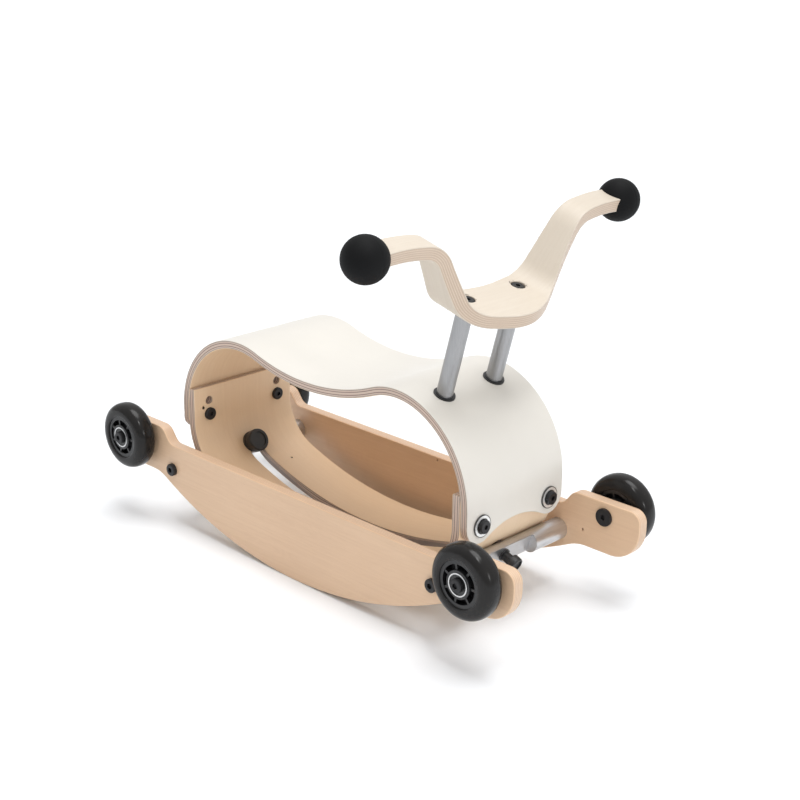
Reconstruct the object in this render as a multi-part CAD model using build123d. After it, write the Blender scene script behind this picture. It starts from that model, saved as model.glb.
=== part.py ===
from build123d import *
import os
from math import asin, cos, degrees, radians, sin, sqrt

# A bent-plywood rocker that also rolls: two flat rails with a rocking lower edge and a wheel at each end,
# a U-shaped cradle hung between two crossbars, a seat bent over the cradle, and a bent handlebar on two posts.
# Millimetres. +X is forward, +Y is left, +Z is up. The origin is on the floor, midway between the wheels.

# ---------------------------------------------------------------- driving dimensions
ROCKER_R = 458.0            # radius of the rails' lower edge
AXLE_Z = 91.6               # height of the wheel axles above the floor
AXLE_X = 247.25             # half of the wheelbase

RAIL_INNER_Y = 84.5
RAIL_T = 12.0
RAIL_OUTER_Y = RAIL_INNER_Y + RAIL_T
RAIL_TOP_Z = AXLE_Z - 1.5
ARM_TOP_Z = AXLE_Z + 15.0
ARM_BOTTOM_Z = AXLE_Z - 37.8
RAIL_HALF_L = 288.5
STEP_LOW_X = 195.9          # where the top edge starts to rise to the arm
STEP_HIGH_X = 208.7
PIN_HOLE_R = 1.1
PIN_HOLE_DEPTH = 5.0

WHEEL_R = 36.0
WHEEL_W = 24.0
WHEEL_Y = 112.0             # middle plane of a wheel
TYRE_EDGE_R = 7.5
CORE_R = 22.3
BEARING_R = 11.0
BEARING_W = 7.0
AXLE_R = 3.95
AXLE_BORE_R = 4.0
AXLE_HEAD_T = 3.4
SPOKES = 7

PLY_SEAT = 9.0
PLY_CRADLE = 10.0
PLY_BAR = 13.0
SHELL_HALF_W = 68.0         # half of the width of the seat and the cradle

CRADLE_IN_X = 188.0         # inner face of the cradle's uprights
CRADLE_CORNER_R = 55.0      # inner radius of its two corners
CRADLE_FLOOR_R = 427.4      # inner radius of its floor, about the same centre as the rocking edge
CRADLE_REAR_TOP_Z = AXLE_Z + 55.0
CRADLE_FRONT_TOP_Z = AXLE_Z + 51.0
SLOT_HALF_W = 9.0
CRADLE_PIN = (-143.8, 30.7)     # X and Y of a pin hole in its floor
CRADLE_OUT_X = CRADLE_IN_X + PLY_CRADLE
SEAT_OUT_X = CRADLE_OUT_X + PLY_SEAT

BAR_R = 11.0                # crossbar tube
BAR_WALL = 1.5
BAR_DIR = (0.781, -0.625)   # from a cradle corner's centre to its crossbar, which touches the cradle there
NOTCH_HALF_L = 38.0
NOTCH_DEPTH_T = 2.0         # distance of the notch's flat from the crossbar's axis

CLAMP_TILT = {1: 22.0, -1: 30.0}    # degrees between a clamp screw and the floor, front and rear
KNOB_R = {1: 8.0, -1: 12.5}
KNOB_T = {1: 8.5, -1: 10.0}
KNOB_DISH = 1.4             # depth of the dish in a knob's face
NECK_R = {1: 5.0, -1: 6.0}
STUD_R = 3.95
CORE_HALF_L = 44.0          # solid middle of the front crossbar, under its notch

SEAT_BOLT_Y = 48.0
FRONT_BOLT_Z = AXLE_Z + 19.4
REAR_BOLT_Z = AXLE_Z + 24.2
SPARE_HOLE_Z = AXLE_Z + 39.2
SPARE_HOLE_R = 4.5
BOLT_R = 3.0                # the four seat bolts
NUT_FLANGE_R = 9.0
REAR_HEAD_R = 6.8
LOBE_R = 18.5               # round ears of the seat's front leg
ARCH_TOP_Z = AXLE_Z + 15.0
SEAT_BEND_Z = AXLE_Z + 35.0     # above this the rear leg starts to bend
SEAT_BENDS = ((76, -10), (94, -98), (243, 40), (85, -42))
REAR_LEG_Z = AXLE_Z + 8.0

POST_Y = 34.3
POST_R = 8.0
POST_WALL = 1.5
POST_LEAN = 15.0            # degrees, forwards
POST_FOOT = (144.7, AXLE_Z + 128.0)     # X and Z where the posts' axes meet the top of the seat
BAR_SEAT_T = 100.0          # along a post, from the seat to the top of the handlebar
GROMMET_R = 10.6
GROMMET_LIP = 1.1           # it lies flat on the seat
COLLAR_R = 11.5
TOP_WASHER_R = 9.6
TOP_WASHER_T = 1.2

GRIP_R = 21.0
GRIP_Y = 170.0
BAR_END_Y = 161.0

TOP_BEND_R = 28.0           # the handlebar's lower bends, on its upper face
SHOULDER_R = 34.0           # its upper bends
ARM_CROWN_R = 220.0
BAR_RISE_DEG = 60.0
ARM_START_DEG = 8.0
ARM_END_DEG = 7.0
PLATEAU_HALF_W = 36.5
RISE_LENGTH = 42.5

# ---------------------------------------------------------------- worked-out places
ROCKER_CENTRE_Z = ROCKER_R
CORNER_X = CRADLE_IN_X - CRADLE_CORNER_R
FLOOR_CENTRE_Z = ROCKER_CENTRE_Z
CORNER_Z = FLOOR_CENTRE_Z - sqrt((CRADLE_FLOOR_R - CRADLE_CORNER_R) ** 2 - CORNER_X ** 2)
BAR_REACH = CRADLE_CORNER_R + PLY_CRADLE + BAR_R
CROSSBAR_X = CORNER_X + BAR_DIR[0] * BAR_REACH
CROSSBAR_Z = CORNER_Z + BAR_DIR[1] * BAR_REACH
POST_AXIS = Vector(sin(radians(POST_LEAN)), 0, cos(radians(POST_LEAN)))
ENDS = {"front": 1, "rear": -1}
SIDES = {"left": 1, "right": -1}

nodes = {}


# ---------------------------------------------------------------- helpers
def rod(origin, direction, start, end, radius):
    """A cylinder along a line, from one distance on it to another."""
    axis = Vector(*direction).normalized()
    plane = Plane(origin=Vector(*origin) + axis * start, z_dir=axis)
    return plane * Cylinder(radius, end - start, align=(Align.CENTER, Align.CENTER, Align.MIN))


def ring(origin, direction, start, end, outer, inner):
    return rod(origin, direction, start, end, outer) - rod(origin, direction, start - 1, end + 1, inner)


def block(x, y, z):
    """A box given by its two limits along each axis."""
    size = [high - low for low, high in (x, y, z)]
    middle = [(high + low) / 2 for low, high in (x, y, z)]
    return Pos(*middle) * Box(*size)


def slab(face, y_low, y_high):
    """A profile drawn as (X, Z), made solid between two values of Y."""
    solid = extrude(Plane.XZ * face, amount=(y_high - y_low) / 2, both=True)
    return Pos(0, (y_low + y_high) / 2, 0) * solid


def bent_line(start, way, bends, drop):
    """A chain of tangent arcs, each (radius, degrees to the left), or the line drop to the right of it."""
    way = Vector(*way)
    at = Vector(*start) + Vector(way.Y, -way.X) * drop
    edges = []
    for radius, turn in bends:
        edges.append(JernArc(at, way, radius + drop if turn > 0 else radius - drop, turn))
        at, way = edges[-1] @ 1, edges[-1] % 1
    return edges


def socket_head(origin, direction, height, radius, key_r):
    """A bolt head standing on a face, with a six-sided key hole in its top."""
    head = rod(origin, direction, 0, height, radius)
    head = chamfer(head.edges().sort_by(lambda e: -(e.center() - Vector(*origin)).length)[0], radius * 0.12)
    axis = Vector(*direction).normalized()
    key = Plane(origin=Vector(*origin) + axis * height * 0.4, z_dir=axis) * RegularPolygon(key_r, 6)
    return head - extrude(key, amount=height)


def add(name, *shapes):
    nodes[name] = [solid for shape in shapes for solid in shape.solids()]


# ---------------------------------------------------------------- rails
def rail_outline():
    """Rocking arc below, straight edge above, and at each end a raised arm with a round nose."""
    join_x = sqrt(ROCKER_R ** 2 - (ROCKER_CENTRE_Z - ARM_BOTTOM_Z) ** 2)
    right = [(join_x, ARM_BOTTOM_Z), (RAIL_HALF_L, ARM_BOTTOM_Z), (RAIL_HALF_L, ARM_TOP_Z),
             (STEP_HIGH_X, ARM_TOP_Z), (STEP_LOW_X, RAIL_TOP_Z)]
    left = [(-x, z) for x, z in reversed(right)]
    edges = [ThreePointArc(left[-1], (0, 0), right[0]), Polyline(*right, *left)]
    outline = make_face(edges)
    for x, z, radius in ((join_x, ARM_BOTTOM_Z, 45), (RAIL_HALF_L, ARM_BOTTOM_Z, 33), (RAIL_HALF_L, ARM_TOP_Z, 12),
                         (STEP_HIGH_X, ARM_TOP_Z, 14), (STEP_LOW_X, RAIL_TOP_Z, 12)):
        for side in (-1, 1):
            corner = Vector(side * x, z)
            outline = fillet(outline.vertices().sort_by_distance(corner)[0], radius)
    return outline


def make_rails():
    outline = rail_outline()
    for side, sign in SIDES.items():
        low, high = sorted((sign * RAIL_INNER_Y, sign * RAIL_OUTER_Y))
        rail = slab(outline, low, high)
        for end in (-1, 1):
            rail -= rod((end * CROSSBAR_X, low, CROSSBAR_Z), (0, 1, 0), -1, RAIL_T + 1, 4.0)
            rail -= rod((end * AXLE_X, low, AXLE_Z), (0, 1, 0), -1, RAIL_T + 1, 6.0)
        for x, z in ((26.7, AXLE_Z - 5.5), (221.6, AXLE_Z - 21.4)):
            rail -= rod((x, sign * RAIL_INNER_Y, z), (0, sign, 0), -1, PIN_HOLE_DEPTH, PIN_HOLE_R)
        add(f"{side}_rail", rail)


# ---------------------------------------------------------------- cradle
def cradle_path(grow):
    """The cradle's inner line, or a line outside it by grow: upright, corner, floor, corner, upright."""
    half, corner_r, floor_r = CRADLE_IN_X + grow, CRADLE_CORNER_R + grow, CRADLE_FLOOR_R + grow
    to_corner = Vector(CORNER_X, CORNER_Z - FLOOR_CENTRE_Z).normalized()
    join = Vector(0, FLOOR_CENTRE_Z) + to_corner * floor_r
    turn = degrees(asin(to_corner.X))
    middle = radians((90 - turn) / 2)
    bend = Vector(CORNER_X + corner_r * cos(middle), CORNER_Z - corner_r * sin(middle))
    return [Line((-half, CRADLE_REAR_TOP_Z), (-half, CORNER_Z)),
            ThreePointArc((-half, CORNER_Z), (-bend.X, bend.Y), (-join.X, join.Y)),
            ThreePointArc((-join.X, join.Y), (0, FLOOR_CENTRE_Z - floor_r), (join.X, join.Y)),
            ThreePointArc((join.X, join.Y), (bend.X, bend.Y), (half, CORNER_Z)),
            Line((half, CORNER_Z), (half, CRADLE_FRONT_TOP_Z))]


def cradle_band(grow_in, grow_out):
    """The closed profile between two lines of the cradle."""
    caps = [Line((end * (CRADLE_IN_X + grow_in), z), (end * (CRADLE_IN_X + grow_out), z))
            for end, z in ((-1, CRADLE_REAR_TOP_Z), (1, CRADLE_FRONT_TOP_Z))]
    return make_face(cradle_path(grow_in) + cradle_path(grow_out) + caps)


def clamp_axis(end):
    """A point on a clamp screw's axis and the way in which its knob comes off."""
    tilt = radians(CLAMP_TILT[end])
    return (end * CROSSBAR_X, 0, CROSSBAR_Z), (cos(tilt), 0, -end * sin(tilt))


def make_cradle():
    cradle = slab(cradle_band(0, PLY_CRADLE), -SHELL_HALF_W, SHELL_HALF_W)
    slot_end = CORNER_X + 42
    cradle -= block((-slot_end, slot_end), (-SLOT_HALF_W, SLOT_HALF_W), (1, CROSSBAR_Z + 17))
    for end in (-1, 1):
        centre, away = clamp_axis(end)
        cradle -= rod(centre, Vector(*away) * -end, 5, 32, SLOT_HALF_W)
    pin_x, pin_y = CRADLE_PIN
    pin_z = CORNER_Z - sqrt(CRADLE_CORNER_R ** 2 - (abs(pin_x) - CORNER_X) ** 2)
    cradle -= rod((pin_x, pin_y, pin_z), (0, 0, -1), -3, PIN_HOLE_DEPTH, PIN_HOLE_R)
    for y in (-SEAT_BOLT_Y, SEAT_BOLT_Y):
        cradle -= rod((0, y, FRONT_BOLT_Z), (1, 0, 0), CRADLE_IN_X - 5, CRADLE_OUT_X + 5, 4.0)
        cradle -= rod((0, y, REAR_BOLT_Z), (-1, 0, 0), CRADLE_IN_X - 5, CRADLE_OUT_X + 5, BOLT_R)
        cradle -= rod((0, y, SPARE_HOLE_Z), (-1, 0, 0), CRADLE_IN_X - 5, CRADLE_OUT_X + 5, SPARE_HOLE_R)
        cradle -= rod((0, y, FRONT_BOLT_Z), (1, 0, 0), CRADLE_IN_X - 10, CRADLE_IN_X, NUT_FLANGE_R)
        cradle -= rod((0, y, REAR_BOLT_Z), (-1, 0, 0), CRADLE_IN_X - 10, CRADLE_IN_X, REAR_HEAD_R)
    add("cradle", cradle - nodes["seat_shell"][0])


# ---------------------------------------------------------------- seat
def seat_bends():
    """Radius and turn of each arc of the seat's outer line; the last one ends straight down at the front leg."""
    bends = list(SEAT_BENDS)
    end = bent_line((-SEAT_OUT_X, SEAT_BEND_Z), (0, 1), bends, 0)[-1]
    heading = end % 1
    bends.append(((SEAT_OUT_X - (end @ 1).X) / (1 + heading.Y), -90 - degrees(asin(heading.Y))))
    return bends


def seat_profile(grow=0.0):
    """The seat from the side: rear leg, back hump, dip to sit in, front hump, front leg. Grown on its outside."""
    start = (-SEAT_OUT_X, SEAT_BEND_Z)
    outer, inner = [bent_line(start, (0, 1), seat_bends(), drop) for drop in (-grow, PLY_SEAT)]
    foot = AXLE_Z - 10
    outside = SEAT_OUT_X + grow
    rear = Polyline(outer[0] @ 0, (-outside, foot), (-CRADLE_OUT_X, foot), inner[0] @ 0)
    front = Polyline(outer[-1] @ 1, (outside, foot), (CRADLE_OUT_X, foot), inner[-1] @ 1)
    return make_face(outer + inner + [rear, front])


def front_leg_shape():
    """The front leg's end, seen from the front: two round ears about the bolts and a shallow arch between."""
    ear_y, ear_z = SHELL_HALF_W - LOBE_R, FRONT_BOLT_Z + 1.1
    gap = ear_z - ARCH_TOP_Z
    arch_r = (ear_y ** 2 + gap ** 2 - LOBE_R ** 2) / (2 * (LOBE_R - gap))
    arch_z = ARCH_TOP_Z - arch_r
    share = arch_r / (arch_r + LOBE_R)
    touch_y, touch_z = ear_y * share, arch_z + (ear_z - arch_z) * share
    high = AXLE_Z + 60
    shape = Pos(0, (high + ear_z) / 2) * Rectangle(2 * SHELL_HALF_W, high - ear_z)
    shape += Pos(0, (high + touch_z) / 2) * Rectangle(2 * touch_y, high - touch_z) - Pos(0, arch_z) * Circle(arch_r)
    shape += [Pos(side * ear_y, ear_z) * Circle(LOBE_R) for side in (-1, 1)]
    return shape


def make_seat():
    seat = slab(seat_profile(), -SHELL_HALF_W, SHELL_HALF_W)
    low, high = AXLE_Z - 20, AXLE_Z + 60
    window = Pos(0, (low + high) / 2) * Rectangle(3 * SHELL_HALF_W, high - low)
    front_cut = extrude(Plane.YZ.offset(CRADLE_OUT_X - 5) * (window - front_leg_shape()), amount=30)
    rear_leg = Pos(0, (REAR_LEG_Z + high + 30) / 2) * RectangleRounded(2 * SHELL_HALF_W, high + 30 - REAR_LEG_Z, 12)
    rear_cut = extrude(Plane.YZ.offset(-SEAT_OUT_X - 5) * (window - rear_leg), amount=30)
    seat = seat - front_cut - rear_cut
    for y in (-SEAT_BOLT_Y, SEAT_BOLT_Y):
        seat -= rod((0, y, FRONT_BOLT_Z), (1, 0, 0), CRADLE_OUT_X - 5, SEAT_OUT_X + 5, BOLT_R)
        seat -= rod((0, y, REAR_BOLT_Z), (-1, 0, 0), CRADLE_OUT_X - 5, SEAT_OUT_X + 5, 4.0)
        seat -= rod((0, y, SPARE_HOLE_Z), (-1, 0, 0), CRADLE_OUT_X - 5, SEAT_OUT_X + 5, SPARE_HOLE_R)
    for side in SIDES.values():
        seat -= rod(post_foot(side), POST_AXIS, -25, 15, POST_R + 1.5)
    add("seat_shell", seat)


def sleeve_nut(face, flange_t):
    """A flanged nut whose sleeve goes forwards into the plywood from a face that looks backwards."""
    flange = ring(face, (-1, 0, 0), 0, flange_t, NUT_FLANGE_R, BOLT_R)
    return flange + ring(face, (1, 0, 0), 0, 8.0, 4.0, BOLT_R)


def make_seat_bolts():
    front_bolts, washers, front_nuts, rear_bolts, rear_nuts = [], [], [], [], []
    for y in (-SEAT_BOLT_Y, SEAT_BOLT_Y):
        face = (SEAT_OUT_X, y, FRONT_BOLT_Z)
        washer_t, nut_t = 1.6, 2.0
        washers.append(ring(face, (1, 0, 0), 0, washer_t, 11.0, BOLT_R))
        bolt = rod(face, (1, 0, 0), -PLY_SEAT - PLY_CRADLE - nut_t + 0.5, washer_t, BOLT_R)
        front_bolts.append(bolt + socket_head((SEAT_OUT_X + washer_t, y, FRONT_BOLT_Z), (1, 0, 0), 4.0, 6.6, 2.5))
        front_nuts.append(sleeve_nut((CRADLE_IN_X, y, FRONT_BOLT_Z), nut_t))
        inside = (-CRADLE_IN_X, y, REAR_BOLT_Z)
        bolt = rod(inside, (-1, 0, 0), 0, PLY_SEAT + PLY_CRADLE + nut_t - 0.5, BOLT_R)
        rear_bolts.append(bolt + socket_head(inside, (1, 0, 0), 3.5, REAR_HEAD_R, 2.5))
        rear_nuts.append(sleeve_nut((-SEAT_OUT_X, y, REAR_BOLT_Z), nut_t))
    add("front_seat_bolts", *front_bolts)
    add("front_seat_washers", *washers)
    add("front_seat_nuts", *front_nuts)
    add("rear_seat_bolts", *rear_bolts)
    add("rear_seat_nuts", *rear_nuts)


# ---------------------------------------------------------------- crossbars and clamps
def make_crossbars():
    bolts, plugs = [], []
    plug_l, head_h = 24.0, 4.5
    for name, end in ENDS.items():
        centre = (end * CROSSBAR_X, 0, CROSSBAR_Z)
        bar = ring(centre, (0, 1, 0), -RAIL_INNER_Y, RAIL_INNER_Y, BAR_R, BAR_R - BAR_WALL)
        point, away = clamp_axis(end)
        if end > 0:
            bar += rod(centre, (0, 1, 0), -CORE_HALF_L, CORE_HALF_L, BAR_R - BAR_WALL + 0.5)
            flat = Plane(origin=Vector(*point) + Vector(*away) * NOTCH_DEPTH_T, x_dir=(0, 1, 0), z_dir=away)
            bar -= flat * Box(2 * NOTCH_HALF_L, 40, 20, align=(Align.CENTER, Align.CENTER, Align.MIN))
            bar -= rod(point, away, -BAR_R - 2, NOTCH_DEPTH_T + 1, STUD_R + 0.5)
        else:
            bar -= rod(point, away, 0, BAR_R + 2, 5.5)
            insert = ring(point, away, 3, BAR_R - 0.6, 5.5, 4.0)
            add("rear_clamp_insert", insert)
        add(f"{name}_crossbar", bar)
        for side in SIDES.values():
            mouth = (end * CROSSBAR_X, side * RAIL_INNER_Y, CROSSBAR_Z)
            outside = (end * CROSSBAR_X, side * RAIL_OUTER_Y, CROSSBAR_Z)
            plugs.append(ring(mouth, (0, -side, 0), 0, plug_l, BAR_R - BAR_WALL, 4.0))
            shank = rod(mouth, (0, -side, 0), -RAIL_T, plug_l - 2, 4.0)
            bolts.append(shank + socket_head(outside, (0, side, 0), head_h, 6.7, 3.0))
    add("crossbar_plugs", *plugs)
    add("crossbar_bolts", *bolts)


def make_knob(end, head_start):
    """A round knob with a dished face, moulded onto the end of its stud."""
    point, away = clamp_axis(end)
    radius, thick = KNOB_R[end], KNOB_T[end]
    head_end = head_start + thick
    head = rod(point, away, head_start, head_end, radius)
    head = fillet(head.edges(), 1.6)
    head -= rod(point, away, head_end - KNOB_DISH, head_end + 1, radius * 0.72)
    return head - rod(point, away, head_start - 1, head_end - 4, STUD_R)


def make_stud(end, tip, neck_start, head_start):
    """A knob's screw, with a thicker neck just below the knob."""
    point, away = clamp_axis(end)
    shank = rod(point, away, tip, head_start + KNOB_T[end] - 4, STUD_R)
    return shank + rod(point, away, neck_start, head_start, NECK_R[end])


def make_clamps():
    # front: the knob bears on the crossbar's notch and pulls a plate against the inside of the cradle
    point, away = clamp_axis(1)
    inner_gap = clamp_distance(1, CRADLE_CORNER_R)
    washer_t, head_start = 1.5, 11.5
    neck_start = NOTCH_DEPTH_T + washer_t
    add("front_clamp_washer", ring(point, away, NOTCH_DEPTH_T, neck_start, 6.5, STUD_R + 0.3))
    add("front_clamp_knob", make_knob(1, head_start))
    add("front_clamp_stud", make_stud(1, -inner_gap - 12, neck_start, head_start))
    plate_near = inner_gap + 2.2
    plate = Plane(origin=Vector(*point) - Vector(*away) * plate_near, x_dir=(0, 1, 0), z_dir=-Vector(*away))
    plate = plate * Box(34, 16, 4, align=(Align.CENTER, Align.CENTER, Align.MIN))
    plate -= cradle_solid()
    plate -= rod(point, away, -inner_gap - 20, 0, 4.0)
    add("front_clamp_plate", plate.solids().sort_by(lambda s: s.volume)[-1])
    # rear: the knob stands inside the cradle, its neck goes through the slot and its stud into the crossbar
    point, away = clamp_axis(-1)
    inner_gap = clamp_distance(-1, CRADLE_CORNER_R)
    head_start = inner_gap + 3.1
    saddle = ring(point, away, inner_gap - 4, head_start, KNOB_R[-1], NECK_R[-1] + 0.3)
    add("rear_clamp_washer", (saddle - cradle_solid(0.05)).solids().sort_by(lambda s: s.volume)[-1])
    add("rear_clamp_knob", make_knob(-1, head_start))
    add("rear_clamp_stud", make_stud(-1, 2, BAR_R + 2, head_start))


def clamp_distance(end, radius):
    """How far along a clamp screw's axis, from the crossbar, it meets a corner line of the cradle."""
    tilt = radians(CLAMP_TILT[end])
    to_centre = Vector(CROSSBAR_X - CORNER_X, CORNER_Z - CROSSBAR_Z)
    along = to_centre.X * cos(tilt) + to_centre.Y * sin(tilt)
    aside = to_centre.X * sin(tilt) - to_centre.Y * cos(tilt)
    return along - sqrt(radius ** 2 - aside ** 2)


def cradle_solid(spare=0.0):
    """The cradle without its slot and holes, and larger by spare on its inner side."""
    return slab(cradle_band(-spare, PLY_CRADLE), -SHELL_HALF_W, SHELL_HALF_W)


# ---------------------------------------------------------------- posts and handlebar
def post_foot(side):
    return (POST_FOOT[0], side * POST_Y, POST_FOOT[1])


def bar_line(drop):
    """Half of the handlebar's upper face seen from behind, as (Y, height), or a line below it by drop."""
    edges = [Line((0, -drop), (PLATEAU_HALF_W, -drop))]
    edges += bent_line((PLATEAU_HALF_W, 0), (1, 0), [(TOP_BEND_R, BAR_RISE_DEG)], drop)
    start, way = edges[-1] @ 1, edges[-1] % 1
    edges.append(Line(start, start + way * RISE_LENGTH))
    shoulder = (SHOULDER_R, ARM_START_DEG - BAR_RISE_DEG)
    arm = (ARM_CROWN_R, -ARM_START_DEG - ARM_END_DEG)
    top_start = edges[-1] @ 1 - Vector(way.Y, -way.X) * drop
    return edges + bent_line((top_start.X, top_start.Y), (way.X, way.Y), [shoulder, arm], drop)


def bar_plan():
    """The handlebar from above: a wide plateau reaching forwards and two narrower arms."""
    front = [(45, 0), (30, 45), (12, 80), (5.5, 115), (4, 170)]
    rear = [(-13, 0), (-18, 45), (-18.5, 80), (-19, 115), (-20.5, 170)]
    lines = []
    for half in (front, rear):
        points = [(x, -y) for x, y in reversed(half[1:])] + half
        lines.append(Spline(*points))
    ends = [Line(lines[0] @ t, lines[1] @ t) for t in (0, 1)]
    return make_face(lines + ends)


def bar_frame():
    """Where the handlebar sits: square on the posts, its upper face at the screws."""
    origin = Vector(POST_FOOT[0], 0, POST_FOOT[1]) + POST_AXIS * BAR_SEAT_T
    return Plane(origin=origin, x_dir=(POST_AXIS.Z, 0, -POST_AXIS.X), z_dir=POST_AXIS)


def make_handlebar():
    top, bottom = bar_line(0), bar_line(PLY_BAR)
    caps = [Line(top[0] @ 0, bottom[0] @ 0), Line(top[-1] @ 1, bottom[-1] @ 1)]
    half = make_face(top + bottom + caps)
    profile = half + mirror(half, Plane.YZ)
    bent = extrude(Plane.YZ * profile, amount=60, both=True)
    plan = extrude(bar_plan(), amount=120, both=True)
    end_cut = Box(200, 2 * BAR_END_Y, 300)
    bar = bar_frame() * (bent & plan & end_cut)
    for side in SIDES.values():
        foot = post_foot(side)
        bar -= rod(foot, POST_AXIS, BAR_SEAT_T - 3.5, BAR_SEAT_T + 5, 7.0)
        bar -= rod(foot, POST_AXIS, BAR_SEAT_T - PLY_BAR - 5, BAR_SEAT_T, BOLT_R + 1.0)
        end_stud = bar_frame() * grip_stud(side)
        bar -= end_stud
    add("handlebar", bar)
    for name, side in SIDES.items():
        ball = bar_frame() * Pos(*grip_centre(side)) * Sphere(GRIP_R)
        add(f"{name}_grip", ball - bar - bar_frame() * grip_stud(side))
    add("grip_studs", *[bar_frame() * grip_stud(side) for side in SIDES.values()])


def grip_centre(side):
    """In the handlebar's own frame, on the middle line of the arm's end."""
    end = bar_line(PLY_BAR / 2)[-1]
    at, way = end @ 1, end % 1
    reach = (GRIP_Y - at.X) / way.X
    return (-8.0, side * GRIP_Y, at.Y + way.Y * reach)


def grip_stud(side):
    """A threaded rod half in the arm's end and half in the grip."""
    centre = grip_centre(side)
    end = bar_line(PLY_BAR / 2)[-1]
    way = end % 1
    return rod(centre, (0, side * way.X, way.Y), -32, 8, 3.0)


def make_posts():
    """Two tubes through the seat, each with a plugged foot below it and a screw down into its top."""
    foot_t = -17.0
    top = BAR_SEAT_T - PLY_BAR
    screw_head_t = BAR_SEAT_T - 3.5
    seat_and_lip = slab(seat_profile(GROMMET_LIP), -SHELL_HALF_W, SHELL_HALF_W)
    grommets, collars, foot_bolts, inserts, washers, screws = [], [], [], [], [], []
    for name, side in SIDES.items():
        foot = post_foot(side)
        tube_top = top - TOP_WASHER_T
        add(f"{name}_post", ring(foot, POST_AXIS, foot_t, tube_top, POST_R, POST_R - POST_WALL))
        lip = ring(foot, POST_AXIS, -PLY_SEAT, PLY_SEAT, GROMMET_R, POST_R) & seat_and_lip
        sleeve = ring(foot, POST_AXIS, foot_t - 1, 0, POST_R + 1.5, POST_R)
        grommets.append(lip + sleeve)
        collars.append(ring(foot, POST_AXIS, foot_t, foot_t + 4.5, COLLAR_R, POST_R))
        inserts.append(ring(foot, POST_AXIS, tube_top - 18, tube_top, POST_R - POST_WALL, BOLT_R))
        washers.append(ring(foot, POST_AXIS, tube_top, top, TOP_WASHER_R, BOLT_R))
        shank = rod(foot, POST_AXIS, tube_top - 16, screw_head_t, BOLT_R)
        head_at = Vector(*foot) + POST_AXIS * screw_head_t
        screws.append(shank + socket_head(tuple(head_at), tuple(POST_AXIS), 3.0, 6.7, 2.5))
        plug = rod(foot, POST_AXIS, foot_t, foot_t + 15, POST_R - POST_WALL)
        end_at = Vector(*foot) + POST_AXIS * foot_t
        foot_bolts.append(plug + socket_head(tuple(end_at), tuple(-POST_AXIS), 4, 6.5, 2.5))
    add_trimmed("post_grommets", grommets, nodes["seat_shell"])
    add_trimmed("post_collars", collars, nodes["post_grommets"] + nodes["seat_shell"])
    add("post_foot_bolts", *foot_bolts)
    add("post_inserts", *inserts)
    add("post_top_washers", *washers)
    add("handlebar_screws", *screws)


def add_trimmed(name, shapes, neighbours):
    """Add the largest piece that is left of each shape once its neighbours are cut out of it."""
    kept = []
    for shape in shapes:
        for neighbour in neighbours:
            shape = shape - neighbour
        kept.append(shape.solids().sort_by(lambda s: s.volume)[-1])
    add(name, *kept)


# ---------------------------------------------------------------- wheels
def tyre_profile():
    """Half of a tyre's section: (radius, across), with wide round shoulders."""
    half = WHEEL_W / 2
    crown = WHEEL_R - TYRE_EDGE_R
    shape = Pos((CORE_R + crown) / 2, 0) * Rectangle(crown - CORE_R, WHEEL_W)
    shape += Pos((CORE_R + WHEEL_R) / 2, 0) * Rectangle(WHEEL_R - CORE_R, WHEEL_W - 2 * TYRE_EDGE_R)
    shape += [Pos(crown, side * (half - TYRE_EDGE_R)) * Circle(TYRE_EDGE_R) for side in (-1, 1)]
    return shape & Pos((CORE_R + WHEEL_R) / 2, 0) * Rectangle(WHEEL_R - CORE_R, WHEEL_W)


def wheel_parts(end, side):
    """Tyre, core and bearings, made about the wheel's own axis and then put in place."""
    tyre = revolve(Plane.XZ * tyre_profile(), Axis.Z, 360)
    rim = Cylinder(CORE_R, WHEEL_W - 3) - Cylinder(CORE_R - 3.5, WHEEL_W)
    boss = Cylinder(BEARING_R + 2.5, WHEEL_W - 1)
    web = Cylinder(CORE_R - 2, 7)
    core = rim + boss + web
    rib = Box(CORE_R - BEARING_R - 3, 2.2, WHEEL_W - 4)
    for i in range(SPOKES):
        core += Rot(0, 0, i * 360 / SPOKES) * Pos((CORE_R + BEARING_R) / 2 - 0.5, 0, 0) * rib
    seat_l = WHEEL_W / 2 - BEARING_W
    for face in (-1, 1):
        core -= Pos(0, 0, face * (seat_l + BEARING_W)) * Cylinder(BEARING_R, 2 * BEARING_W)
    core -= Cylinder(BEARING_R - 3, WHEEL_W)
    bearings = []
    for face in (-1, 1):
        bearing = Cylinder(BEARING_R, BEARING_W) - Cylinder(AXLE_BORE_R, BEARING_W)
        groove = Cylinder(BEARING_R - 1.6, 0.5) - Cylinder(AXLE_BORE_R + 2.0, 0.5)
        bearing -= [Pos(0, 0, s * (BEARING_W / 2 - 0.25)) * groove for s in (-1, 1)]
        bearings.append(Pos(0, 0, face * (WHEEL_W - BEARING_W) / 2) * bearing)
    place = Pos(end * AXLE_X, side * WHEEL_Y, AXLE_Z) * Rot(90, 0, 0)
    return place * tyre, place * core, [place * b for b in bearings]


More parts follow.
